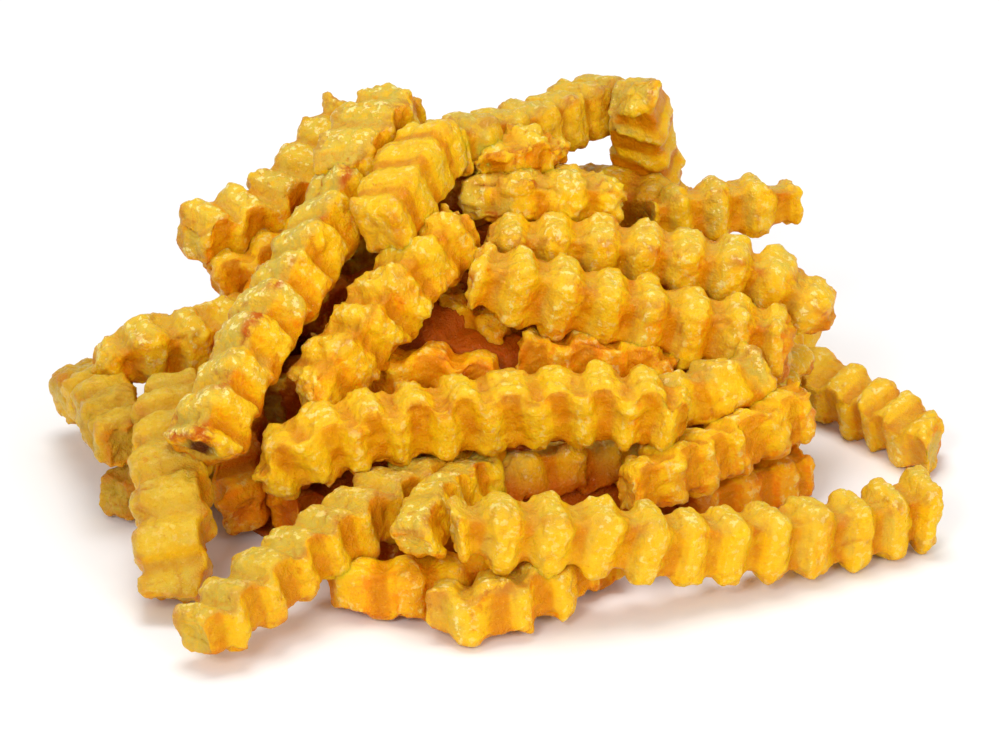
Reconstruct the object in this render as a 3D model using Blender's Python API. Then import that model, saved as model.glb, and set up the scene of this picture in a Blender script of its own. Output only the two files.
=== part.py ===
"""A loose heap of crinkle-cut french fries, one solid, in metres with +Z up.

The heap rests on the plane z = 0 with its origin under the middle of its box. +X runs along its longest
side, and -Y is the side where the long fries lie in front. Each fry is a stick with waves cut across its
four sides. The fries that show are fused to a lower mound, which fills the middle of the heap.
"""

import math
from collections import namedtuple

import bmesh
import bpy
from mathutils import Matrix, Vector

# Driving dimensions, in millimetres and degrees
MM = 0.001
RIDGE_DEPTH = 1.7
END_MARGIN = 2.4
END_SCALE = 0.9
TAPER_REACH = 11.0
CORE_DEPTH = 6.0
CORE_REACH = 6.0
CORE_RINGS = 8
CORE_SECTORS = 24
CORE_CENTRE = (-2.0, 10.0)
CORE_HALF_SIZE = (57.0, 55.0)
CORE_HEIGHT = 66.0
CORE_LOWEST = 3.0
SUNK = 1.5
SLAB = 300.0
HEAP_MIDDLE = (-0.2, 2.6)
SPAN_STEPS = 12

FRY_COLOUR = (0.80, 0.47, 0.07, 1.0)
FRY_ROUGHNESS = 0.5

# A fry's size is its width and height from crest to crest. Its ridges are given by where one crest lies,
# measured from the fry's start, and by how far crests are apart. Its route gives the points that its middle
# passes through, in the heap's own frame. In a ribbon opposite sides wave together; otherwise they bulge
# together. Its ends are how wide it is at its start and at its end, as a share of its full width.
Fry = namedtuple("Fry", "name size roll slant ridges ribbon route ends", defaults=((1.0, 1.0),))

FRIES = [
    # The long fries in front and at the foot of the heap
    Fry("runner_left", (12.8, 12.0), 8, 8, (3.0, 8.8), True,
        [(-57, -83, 7), (-39, -62, 13), (-22, -42, 16), (-6, -24, 16)], (0.85, 1.0)),
    Fry("runner_right", (11.6, 13.4), -4, 0, (0.3, 9.2), False,
        [(-9, -64, 21), (19, -59, 17), (37, -53, 12), (66, -38, 8), (84, -27, 8)], (0.8, 1.0)),
    Fry("foot_front", (12.0, 12.0), 5, -6, (3.0, 8.8), True,
        [(-13, -67, 6), (-4, -68, 6), (7, -62, 7), (16, -55, 8)], (0.8, 0.75)),
    Fry("foot_inner", (11.4, 11.4), 0, 5, (5.0, 8.8), True,
        [(-32, -56, 6), (-20, -59, 6), (-6, -56, 6), (12, -49, 6), (23, -44, 6)], (0.8, 0.8)),
    Fry("stub_middle", (9.8, 10.8), 14, 6, (4.0, 8.8), False,
        [(-16, -65, 18), (-14, -57, 20), (-9, -42, 18), (0, -28, 16)]),
    Fry("middle_low", (10.6, 10.8), 20, 14, (4.0, 8.8), True,
        [(-8, -34, 15), (8, -28, 16), (20, -22, 15), (35, -15, 15)], (0.8, 0.9)),
    Fry("middle_long", (13.2, 14.2), -6, 6, (-1.3, 8.8), True,
        [(-46, -36, 17), (-38, -35, 24), (-27, -33, 27), (0, -30, 30), (23, -30, 31), (37, -29, 28)],
        (0.6, 0.8)),
    Fry("middle_end", (12.6, 12.2), 24, 10, (3.0, 8.8), True,
        [(24, -16, 23), (39, -16, 27), (51, -10, 30)]),
    Fry("right_upper", (11.8, 11.8), 12, 16, (4.0, 8.8), True,
        [(24, -41, 18), (32, -35, 19), (41, -26, 19), (60, -12, 23)], (0.8, 1.0)),
    Fry("right_under", (11.6, 11.6), 0, 6, (4.0, 8.8), True, [(36, -24, 7), (50, -15, 7), (61, -8, 8)]),
    Fry("right_tip", (12.2, 11.4), -16, 8, (-2.4, 8.8), True,
        [(55, 47, 8), (68, 33, 7), (80, 18, 6), (88, 5, 6)], (1.0, 0.9)),
    # The two long fries across the upper middle, and those in the gaps below them
    Fry("across_front", (13.0, 14.0), -4, 4, (1.1, 8.8), False,
        [(-6, -4, 48), (16, -4, 42), (36, -4, 37), (58, -3, 32)], (0.95, 0.9)),
    Fry("across_back", (12.0, 12.0), -8, 0, (5.4, 8.8), False,
        [(-3, 10, 48), (20, 10, 47), (40, 10, 44), (54, 10, 40), (66, 8, 32)], (0.9, 0.7)),
    Fry("gap_upper", (11.4, 11.4), 10, 8, (4.0, 8.8), True, [(-12, 6, 37), (-5, 2, 34), (1, -2, 30)]),
    Fry("gap_lower", (11.4, 11.8), 6, 6, (4.0, 8.8), True, [(4, -8, 31), (20, -9, 31), (33, -9, 28)]),
    Fry("gap_right", (11.4, 11.4), 0, 6, (4.0, 8.8), True, [(16, 6, 27), (38, 6, 27)]),
    Fry("gap_left", (11.8, 11.8), 8, -6, (4.0, 8.8), True,
        [(-26, -13, 29), (-14, -15, 31), (-1, -15, 28)]),
    # The top of the heap
    Fry("top_stick", (12.0, 12.0), 6, -2, (-1.5, 8.2), False,
        [(30, 39, 42), (43, 42, 43), (60, 46, 43)], (0.9, 0.75)),
    Fry("top_stander", (13.2, 12.8), 4, 12, (4.0, 8.8), True,
        [(33, 66, 32), (30, 55, 51), (28, 43, 69)], (1.0, 0.75)),
    Fry("top_broad", (13.4, 12.0), 4, 4, (4.0, 8.8), False,
        [(-9, 22, 55), (8, 21, 54), (25, 22, 53)], (0.7, 0.8)),
    Fry("top_scrap", (10.4, 9.8), -10, 8, (4.0, 8.8), True,
        [(-6, 22, 61), (3, 25, 62), (13, 30, 60)], (0.7, 0.7)),
    Fry("top_arch", (12.2, 12.0), 10, 13, (-1.0, 8.8), False,
        [(-11, 22, 64), (6, 40, 61), (24, 65, 59)]),
    Fry("left_top", (12.8, 12.4), -12, 8, (4.0, 8.8), True,
        [(-63, 24, 44), (-48, 31, 47), (-39, 41, 52), (-30, 50, 60)]),
    Fry("left_crown", (15.4, 13.6), -8, 6, (4.0, 8.8), True,
        [(-19, 40, 67), (-25, 30, 65), (-32, 15, 60)], (0.85, 0.9)),
    Fry("left_diagonal", (13.6, 12.8), -32, 10, (4.0, 8.8), True,
        [(-30, 19, 58), (-39, -3, 49), (-49, -22, 39), (-58, -41, 26)], (0.9, 1.15)),
    Fry("left_blunt", (14.0, 13.6), -14, 6, (4.0, 8.8), False,
        [(-11, 24, 66), (-17, 13, 63), (-24, -4, 57)], (0.9, 0.9)),
    Fry("left_broad", (14.6, 13.4), -16, 10, (-2.0, 8.8), True,
        [(-7, 8, 54), (-19, -6, 47), (-29, -17, 38), (-38, -26, 30)], (0.9, 0.75)),
    Fry("top_inner", (12.0, 11.8), 6, 6, (4.0, 8.8), True,
        [(-38, 34, 47), (-20, 34, 51), (-2, 32, 52)]),
    # The left side, from the outer edge inwards
    Fry("outer_left", (12.8, 12.2), 10, 4, (4.0, 8.8), True,
        [(-74, -21, 19), (-80, 4, 17), (-87, 28, 9)], (0.9, 0.9)),
    Fry("outer_foot", (11.0, 11.0), 0, 6, (4.0, 8.8), True, [(-76, -17, 6), (-62, -6, 6), (-50, 2, 6)]),
    Fry("left_foot", (15.0, 13.4), 8, 8, (1.5, 9.2), True,
        [(-62, -58, 3), (-63, -47, 14), (-64, -27, 21), (-64, -7, 24)], (0.9, 0.8)),
    Fry("left_shoulder", (12.0, 11.6), -10, 10, (4.0, 8.8), True,
        [(-82, 8, 21), (-71, 8, 27), (-59, 10, 28), (-49, 14, 31)], (0.7, 1.0)),
    Fry("left_under", (11.6, 11.6), 0, 6, (4.0, 8.8), True,
        [(-58, 22, 35), (-47, 24, 39), (-36, 26, 44)]),
    Fry("inner_upright", (11.2, 11.2), 6, 6, (4.0, 8.8), True,
        [(-50, -28, 7), (-52, -17, 12), (-52, -6, 17)]),
    Fry("inner_low", (11.0, 11.0), 0, 6, (4.0, 8.8), True,
        [(-43, -27, 6), (-30, -18, 6), (-18, -12, 6)]),
    Fry("inner_mid", (11.0, 11.0), 0, 6, (4.0, 8.8), True,
        [(-44, -24, 15), (-31, -16, 17), (-18, -10, 18)]),
    Fry("inner_front", (11.0, 11.0), 0, 6, (4.0, 8.8), True,
        [(-31, -45, 6), (-14, -35, 6), (2, -28, 6)]),
    Fry("left_base", (11.6, 11.4), 4, 6, (4.0, 8.8), True, [(-68, 14, 6), (-46, 17, 6), (-22, 24, 6)]),
    Fry("left_second_outer", (11.8, 11.6), -6, 6, (4.0, 8.8), True,
        [(-60, 4, 17), (-53, 20, 17), (-42, 38, 16)]),
    Fry("left_second_inner", (11.6, 11.6), 8, 6, (4.0, 8.8), False,
        [(-46, 0, 17), (-37, 14, 18), (-26, 28, 18)]),
    Fry("left_third", (12.0, 11.8), 0, 8, (4.0, 8.8), True,
        [(-54, 18, 26), (-40, 24, 29), (-22, 26, 30)]),
    Fry("left_slope", (11.8, 11.6), 6, 8, (4.0, 8.8), True,
        [(-57, -12, 17), (-51, 2, 27), (-44, 18, 37)]),
    # The far side, which finishes the heap as its near side is
    Fry("far_foot_left", (12.2, 12.0), 6, 6, (4.0, 8.8), True,
        [(-68, 28, 6), (-50, 48, 6), (-20, 62, 6)]),
    Fry("far_foot_middle", (12.4, 12.2), -8, 6, (4.0, 8.8), True,
        [(-40, 72, 6), (-4, 84, 6), (30, 80, 6)]),
    Fry("far_foot_inner", (12.0, 12.0), 4, 6, (4.0, 8.8), True,
        [(-16, 70, 6), (14, 68, 6), (46, 58, 6)]),
    Fry("far_foot_right", (12.4, 12.0), 6, 8, (4.0, 8.8), False,
        [(30, 44, 6), (44, 46, 6), (58, 52, 6)]),
    Fry("far_runner", (12.2, 12.2), 0, 6, (4.0, 8.8), False, [(60, 76, 6), (50, 62, 12), (38, 44, 18)]),
    Fry("far_slope_left", (12.2, 12.2), 10, 8, (4.0, 8.8), True,
        [(-64, 60, 7), (-48, 50, 16), (-32, 40, 26)]),
    Fry("far_low_middle", (12.2, 12.0), 8, 6, (4.0, 8.8), True,
        [(-38, 64, 16), (-6, 73, 17), (24, 70, 17)]),
    Fry("far_low_right", (12.0, 12.2), -6, 6, (4.0, 8.8), False,
        [(8, 58, 16), (34, 50, 17), (58, 34, 15)]),
    Fry("far_mid_left", (12.4, 12.2), -6, 8, (4.0, 8.8), True,
        [(-54, 34, 24), (-28, 50, 27), (0, 60, 28)]),
    Fry("far_mid_right", (12.2, 12.2), 6, 6, (4.0, 8.8), True,
        [(4, 62, 29), (28, 54, 29), (54, 34, 26)]),
    Fry("far_upper_left", (12.4, 12.0), 0, 8, (4.0, 8.8), True,
        [(-48, 40, 36), (-24, 50, 39), (4, 56, 40)]),
    Fry("far_upper_right", (12.4, 12.2), 10, 6, (4.0, 8.8), True,
        [(-2, 56, 42), (20, 56, 40), (44, 48, 36)]),
    Fry("far_top_left", (12.0, 12.0), -8, 6, (4.0, 8.8), False,
        [(-38, 48, 50), (-18, 48, 53), (2, 46, 52)]),
    Fry("far_top_right", (12.0, 12.0), -8, 6, (4.0, 8.8), False,
        [(10, 50, 42), (24, 50, 42), (38, 44, 40)]),
    Fry("far_leaner", (12.2, 12.0), 10, 6, (4.0, 8.8), True,
        [(17, 83, 17), (14, 76, 27), (11, 68, 38)]),
    Fry("right_inner", (11.8, 11.8), 4, 6, (4.0, 8.8), True, [(58, 0, 16), (46, 10, 17), (30, 16, 18)]),
    Fry("right_inner_low", (11.6, 11.6), 0, 6, (4.0, 8.8), True, [(60, 9, 6), (46, 4, 6), (28, -4, 6)]),
    Fry("right_behind", (11.8, 11.6), -6, 6, (4.0, 8.8), False,
        [(60, 12, 17), (50, 18, 26), (36, 22, 35)]),
    Fry("far_right_side", (12.4, 12.2), 6, 8, (4.0, 8.8), True,
        [(62, 62, 6), (54, 50, 14), (46, 38, 24)]),
]

CORNERS = [(-1, -1), (1, -1), (1, 1), (-1, 1)]


def smooth_route(points):
    """Samples a smooth curve through the points, closely enough to measure along it."""
    knots = [Vector(p) for p in points]
    knots = [2 * knots[0] - knots[1], *knots, 2 * knots[-1] - knots[-2]]
    samples = []
    for a, b, c, d in zip(knots, knots[1:], knots[2:], knots[3:]):
        for step in range(SPAN_STEPS):
            t = step / SPAN_STEPS
            tangent_in = (c - a) / 2
            tangent_out = (d - b) / 2
            samples.append(
                (2 * t**3 - 3 * t**2 + 1) * b
                + (t**3 - 2 * t**2 + t) * tangent_in
                + (3 * t**2 - 2 * t**3) * c
                + (t**3 - t**2) * tangent_out
            )
    samples.append(knots[-2])
    return samples


def measured(samples):
    """The distance along the route at each sample."""
    along = [0.0]
    for a, b in zip(samples, samples[1:]):
        along.append(along[-1] + (b - a).length)
    return along


def place_on(samples, along, distance):
    """The point and the direction of the route at a distance from its start."""
    last = len(samples) - 2
    index = next((i for i in range(last) if along[i + 1] >= distance), last)
    a, b = samples[index], samples[index + 1]
    share = (distance - along[index]) / (along[index + 1] - along[index])
    return a.lerp(b, share), (b - a).normalized()


def axes_across(direction, roll):
    """The fry's own sideways and upward directions where its middle runs in the given direction."""
    side = direction.cross(Vector((0, 0, 1))).normalized()
    up = side.cross(direction)
    turn = math.radians(roll)
    return side * math.cos(turn) + up * math.sin(turn), up * math.cos(turn) - side * math.sin(turn)


def stations(length, ridges):
    """Where a fry has a ring of corners: its two ends, and each crest and valley between them."""
    first_crest, pitch = ridges
    half = pitch / 2
    places = [(0.0, 0.0)]
    count = int(length / half) + 2
    for index in range(count):
        distance = first_crest + index * half
        if END_MARGIN < distance < length - END_MARGIN:
            places.append((distance, 1.0 if index % 2 == 0 else -1.0))
    places.append((length, 0.0))
    return places


def width_share(fry, distance, length):
    """How wide the fry is at a distance from its start, as a share of its full width."""
    at_start = distance < length / 2
    to_end = min(distance if at_start else length - distance, TAPER_REACH) / TAPER_REACH
    nearness = 1 - to_end**2 * (3 - 2 * to_end)
    return 1 + (fry.ends[0 if at_start else 1] - 1) * nearness


def fry_mesh(fry, side_sign):
    """A closed mesh of one fry: a ring of four corners at each crest and valley, a flat cut at each end.

    Where side_sign is 1, a crest on the upper side turns the corner as a crest. Where it is -1, it turns
    the corner as a valley.
    """
    samples = smooth_route(fry.route)
    along = measured(samples)
    lean = math.tan(math.radians(fry.slant))
    wave = RIDGE_DEPTH / 2
    opposite = -1 if fry.ribbon else 1
    mesh = bmesh.new()
    rings = []
    for distance, crest in stations(along[-1], fry.ridges):
        middle, direction = place_on(samples, along, distance)
        side, up = axes_across(direction, fry.roll)
        scale = width_share(fry, distance, along[-1]) * (1.0 if crest else END_SCALE)
        ring = []
        for across, rise in CORNERS:
            wave_side = side_sign * crest * wave * (1 if across > 0 else opposite)
            wave_up = crest * wave * (1 if rise > 0 else opposite)
            x = across * ((fry.size[0] / 2 - wave) * scale + wave_side)
            z = rise * ((fry.size[1] / 2 - wave) * scale + wave_up)
            corner = middle + side * x + up * z + direction * lean * (x if crest else 0.0)
            ring.append(mesh.verts.new(corner * MM))
        rings.append(ring)
    for near, far in zip(rings, rings[1:]):
        for i in range(4):
            j = (i + 1) % 4
            mesh.faces.new((near[i], near[j], far[j], far[i]))
    mesh.faces.new(rings[0])
    mesh.faces.new(rings[-1])
    bmesh.ops.triangulate(mesh, faces=mesh.faces[:])
    bmesh.ops.recalc_face_normals(mesh, faces=mesh.faces[:])
    return mesh


def height_at(x, y, middles):
    """The height of the highest fry's middle that passes near a place, or zero where none does."""
    near = (point.z for point in middles if math.hypot(point.x - x, point.y - y) < CORE_REACH)
    return max(near, default=0.0)


def core_mesh():
    """The mound: rings about the heap's middle, each place a little below the fries that lie over it."""
    middles = [point for fry in FRIES for point in smooth_route(fry.route)]
    mesh = bmesh.new()
    rings = []
    for ring_index in range(1, CORE_RINGS + 1):
        share = ring_index / CORE_RINGS
        ring = []
        for sector in range(CORE_SECTORS):
            angle = 2 * math.pi * sector / CORE_SECTORS
            x = CORE_CENTRE[0] + CORE_HALF_SIZE[0] * share * math.cos(angle)
            y = CORE_CENTRE[1] + CORE_HALF_SIZE[1] * share * math.sin(angle)
            dome = CORE_HEIGHT * (1 - share)
            z = max(CORE_LOWEST, min(dome, height_at(x, y, middles) - CORE_DEPTH))
            ring.append(mesh.verts.new(Vector((x, y, z)) * MM))
        rings.append(ring)
    top_height = height_at(*CORE_CENTRE, middles) - CORE_DEPTH
    top = mesh.verts.new(Vector((*CORE_CENTRE, top_height)) * MM)
    skirt = [mesh.verts.new((v.co.x, v.co.y, -SUNK * MM)) for v in rings[-1]]
    rings.append(skirt)
    for i in range(CORE_SECTORS):
        j = (i + 1) % CORE_SECTORS
        mesh.faces.new((top, rings[0][i], rings[0][j]))
        for inner, outer in zip(rings, rings[1:]):
            mesh.faces.new((inner[i], outer[i], outer[j], inner[j]))
    mesh.faces.new(skirt)
    bmesh.ops.triangulate(mesh, faces=mesh.faces[:])
    bmesh.ops.recalc_face_normals(mesh, faces=mesh.faces[:])
    return mesh


def slab_mesh():
    """What lies below the surface that the heap rests on."""
    mesh = bmesh.new()
    bmesh.ops.create_cube(mesh, size=SLAB * MM)
    bmesh.ops.translate(mesh, verts=mesh.verts[:], vec=(0, 0, -SLAB * MM / 2))
    return mesh


def as_object(name, mesh, collection):
    """Turns a mesh under construction into an object of the collection."""
    data = bpy.data.meshes.new(name)
    mesh.to_mesh(data)
    mesh.free()
    thing = bpy.data.objects.new(name, data)
    collection.objects.link(thing)
    return thing


def apply_boolean(target, operation, *, collection=None, cutter=None):
    """Joins or cuts the target, and keeps the result as its own mesh.

    The solver is the quick one for closed meshes, because there are so many pieces.
    """
    cut = target.modifiers.new(operation.title(), "BOOLEAN")
    cut.operation = operation
    cut.solver = "MANIFOLD"
    if collection:
        cut.operand_type = "COLLECTION"
        cut.collection = collection
    else:
        cut.object = cutter
    evaluated = target.evaluated_get(bpy.context.evaluated_depsgraph_get())
    joined = bpy.data.meshes.new_from_object(evaluated)
    target.modifiers.clear()
    target.data = joined


def keep_largest_shell(target):
    """Drops loose scraps, and fills the hollows that joining has sealed."""
    mesh = bmesh.new()
    mesh.from_mesh(target.data)
    waiting = set(mesh.verts)
    shells = []
    while waiting:
        shell = set()
        edge_of_search = [waiting.pop()]
        while edge_of_search:
            vertex = edge_of_search.pop()
            shell.add(vertex)
            for edge in vertex.link_edges:
                other = edge.other_vert(vertex)
                if other in waiting:
                    waiting.discard(other)
                    edge_of_search.append(other)
        shells.append(shell)
    shells.sort(key=len)
    bmesh.ops.delete(mesh, geom=[v for shell in shells[:-1] for v in shell], context="VERTS")
    mesh.to_mesh(target.data)
    mesh.free()


def fry_material():
    """The golden crust of the fries."""
    material = bpy.data.materials.new("fried_potato")
    material.use_nodes = True
    shader = material.node_tree.nodes["Principled BSDF"]
    shader.inputs["Base Color"].default_value = FRY_COLOUR
    shader.inputs["Roughness"].default_value = FRY_ROUGHNESS
    shader.inputs["Metallic"].default_value = 0.0
    return material


def main():
    for thing in list(bpy.data.objects):
        bpy.data.objects.remove(thing, do_unlink=True)
    scene_collection = bpy.context.scene.collection
    loose = bpy.data.collections.new("loose_fries")
    scene_collection.children.link(loose)
    for index, fry in enumerate(FRIES):
        as_object(fry.name, fry_mesh(fry, side_sign=1 if index % 2 else -1), loose)
    heap = as_object("fries_heap", core_mesh(), scene_collection)
    apply_boolean(heap, "UNION", collection=loose)
    slab = as_object("below", slab_mesh(), scene_collection)
    apply_boolean(heap, "DIFFERENCE", cutter=slab)
    for thing in [slab, *loose.objects]:
        bpy.data.objects.remove(thing, do_unlink=True)
    bpy.data.collections.remove(loose)
    keep_largest_shell(heap)
    heap.data.transform(Matrix.Translation(Vector((*HEAP_MIDDLE, 0.0)) * -MM))
    heap.data.materials.clear()
    heap.data.materials.append(fry_material())


main()
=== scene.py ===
"""The looks of the heap of crinkle-cut french fries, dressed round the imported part.

Every fry of the heap is made again at full detail: waves across its four sides, rough edges, blisters
and cut ends. The fries keep the routes and sizes that they have in the part. Lengths are in millimetres
until a mesh is written, in metres, in the frame of the part.
"""

import itertools
import math
from collections import namedtuple

import bpy
import numpy as np
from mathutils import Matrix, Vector


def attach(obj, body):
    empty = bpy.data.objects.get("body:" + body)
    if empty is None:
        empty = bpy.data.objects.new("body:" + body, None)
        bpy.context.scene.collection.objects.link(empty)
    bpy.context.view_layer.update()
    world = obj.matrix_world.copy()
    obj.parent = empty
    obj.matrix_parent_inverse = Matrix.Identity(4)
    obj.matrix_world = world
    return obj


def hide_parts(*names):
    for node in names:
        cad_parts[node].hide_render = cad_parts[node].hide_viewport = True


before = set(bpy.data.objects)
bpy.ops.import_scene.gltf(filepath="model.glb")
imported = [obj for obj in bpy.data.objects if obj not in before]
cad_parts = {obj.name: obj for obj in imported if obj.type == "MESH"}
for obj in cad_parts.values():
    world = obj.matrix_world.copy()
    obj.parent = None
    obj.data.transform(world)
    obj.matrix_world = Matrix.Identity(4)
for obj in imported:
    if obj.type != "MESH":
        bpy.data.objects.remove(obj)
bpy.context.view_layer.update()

# A millimetre in metres
MM = 0.001

# The heap's own dimensions, as the part has them, in millimetres
RIDGE_DEPTH = 1.7
TAPER_REACH = 11.0
HEAP_MIDDLE = (-0.2, 2.6)
SPAN_STEPS = 12

# The rings of a fry, in millimetres along it, and over how far its direction is taken
RING_STEP = 0.54
POINTS_AROUND = 72
FEWEST_RINGS = 8
FIRST_INNER = 1.4
END_RINGS = (0.0, 0.12, 0.35, 0.8)
DIRECTION_REACH = 1.0

# Its section and its waves: how square it is, how far its skin stands out beyond the part's, how sharply
# crests turn into creases, over what share of the section one side's wave turns into the opposite side's,
# how hollow the faces are, and what share of the wave is lost at the corners
SQUARENESS = 5.2
PROFILE_SAMPLES = 720
SKIN = 0.3
PANEL_SHARPNESS = 1.4
SIDES_BLEND = 0.5
FACE_DISH = 0.25
CORNER_LOSS = 0.25

# Its ends: how long and how wide they are, the rings across their flat cuts, how hollow and how askew the
# cuts are, and how far along the fry a cut's slope reaches
TIP = 2.0
TIP_SCALE = 0.76
CAP_SHARES = (0.16, 0.34, 0.52, 0.68, 0.82, 0.93)
CAP_DISH = 0.6
CUT_SLOPE = 0.25
CUT_REACH = 10.0
CUT_SEED = 1000

# The ragged strips along its edges and round its cuts, as shares of a face and of a cut: where they begin,
# over how much they rise to their full height, and how far they lie back in millimetres
EDGE_FROM = 0.5
EDGE_OVER = 0.35
RIM_FROM = 0.7
RIM_OVER = 0.25
RAGGED_SUNK = 0.15

# Its wrinkles lie where a layer of noise is this near to nothing
WRINKLE_WIDTH = 0.10
WRINKLE_DEPTH = 0.25

# A layer of noise: how high it is, about how many millimetres apart its lumps are, and its own seed
Layer = namedtuple("Layer", "height size seed")
NOISE_CELLS = 32
RIDGE_PLACES = Layer(0.12, 14.0, 4)
RIDGE_DEPTHS = Layer(0.4, 7.0, 5)
RIDGE_BENDS = Layer(0.05, 7.0, 6)
LUMPS = (Layer(0.42, 5.3, 11), Layer(0.28, 2.9, 18), Layer(0.07, 0.7, 22))
BLISTERS = (Layer(0.32, 1.8, 12), Layer(0.20, 1.0, 13))
FLAKES = Layer(1.0, 3.1, 14)
FLAKE_HEIGHT = 0.7
RAGGED = (Layer(0.50, 2.1, 15), Layer(0.25, 1.1, 19))
WRINKLES = Layer(1.0, 4.6, 23)
BURNT_LUMPS = Layer(1.0, 1.4, 20)
PATCHES = Layer(1.0, 8.0, 16)
BLOTCHES = Layer(1.0, 3.4, 17)
CORE_LUMPS = (Layer(1.0, 5.0, 21), Layer(0.5, 2.2, 22))

# How far the noise is shifted from one fry to the next, along its ridges and on its skin, and how fast the
# noise that bends the ridges changes across the fry
RIDGE_SHIFT = 7.3
SKIN_SHIFT = 31.7
BEND_ACROSS = 6.0

# Where a surface lies deep under other fries it is painted a redder brown, as painted shade: how far under
# them that begins, over how much more it deepens, how near they pass, and how far from the heap's middle it
# fades and ends
SHADE_FROM = 8.0
SHADE_OVER = 10.0
SHADE_REACH = 5.5
SHADE_INNER = 40.0
SHADE_OUTER = 62.0

# The square over which the fries' heights are taken: its cells, and half its side
SHADE_CELL = 2.0
SHADE_HALF = 110.0

# The sides towards which the heap's skin is least orange, as painted light, with more orange painted as
# shade on the sides turned away, and on which its straw-coloured cut faces show as a painted sheen
LIT_SIDE = (-0.45, -0.40, 0.80)
UPPER_SIDE = (-0.55, -0.20, 0.81)

# How orange the skin is in general and at most, from where and over how much the straw colour, a painted
# sheen, comes in on a side that looks up, how pale a cut end is at most, and over what share of it, from
# its rim, it pales
ORANGE_BASE = 0.30
MOST_ORANGE = 1.6
STRAW_FROM = 0.25
STRAW_OVER = 0.2
PALEST_CUT = 0.8
CUT_PALE_OVER = 0.25

# The burnt spot at the tip of one fry, in the heap's own frame
BURN_PLACE = (-57.5, -43.0, 28.4)
BURN_REACH = 4.4

# A fry's size is its width and height from crest to crest. Its ridges are given by where one crest lies,
# measured from the fry's start, and by how far crests are apart. Its route gives the points that its
# middle passes through, in the heap's own frame. In a ribbon opposite sides wave together; otherwise they
# bulge together. Its ends are how wide it is at its start and at its end, as a share of its full width.
Fry = namedtuple("Fry", "name size roll slant ridges ribbon route ends", defaults=((1.0, 1.0),))

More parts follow.
